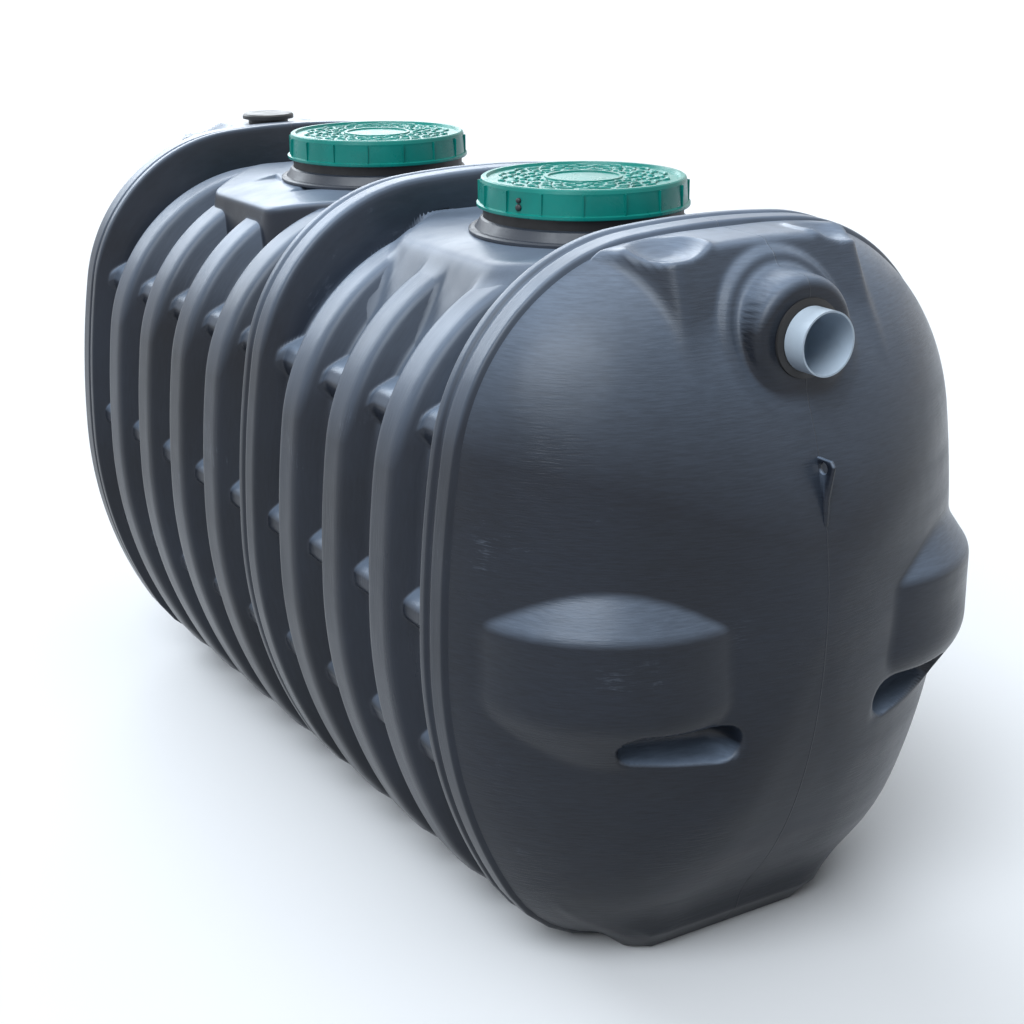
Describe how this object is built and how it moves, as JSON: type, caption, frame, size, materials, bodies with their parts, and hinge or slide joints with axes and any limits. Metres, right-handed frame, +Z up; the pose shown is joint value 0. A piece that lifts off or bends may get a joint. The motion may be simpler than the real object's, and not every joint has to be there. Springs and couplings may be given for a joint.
{
  "type": "septic tank",
  "caption": "Horizontal ribbed septic tank with domed ends, screw lids on round necks, pipe stubs at its ends, lifting blocks and side lugs.",
  "frame": {"origin": "centre of the bounding box at the flat base", "axes": "+X across the tank, +Y from the inlet end to the outlet end, +Z up"},
  "size_m": [1.126, 2.4554, 1.367],
  "materials": {
    "black_body": "satin black moulded polyethylene",
    "green_lid": "satin moulded polypropylene",
    "grey_pipe": "satin extruded PVC",
    "rubber_seal": "matt",
    "black_fitting": "satin"
  },
  "bodies": {
    "root": {"front_dome": "black_body", "front_ring": "black_body", "rib_1": "black_body", "rib_2": "black_body", "rib_3": "black_body", "middle_ring": "black_body", "rib_4": "black_body", "rib_5": "black_body", "rib_6": "black_body", "rib_7": "black_body", "rear_ring": "black_body", "rear_dome": "black_body", "front_table": "black_body", "rear_table": "black_body", "front_neck": "black_body", "rear_neck": "black_body", "front_seal": "rubber_seal", "rear_seal": "rubber_seal", "front_lid": "green_lid", "rear_lid": "green_lid", "inlet_pipe": "grey_pipe", "outlet_pipe": "grey_pipe", "inlet_gasket": "rubber_seal", "outlet_gasket": "rubber_seal", "vent_cap": "black_fitting"}
  },
  "joints": []
}
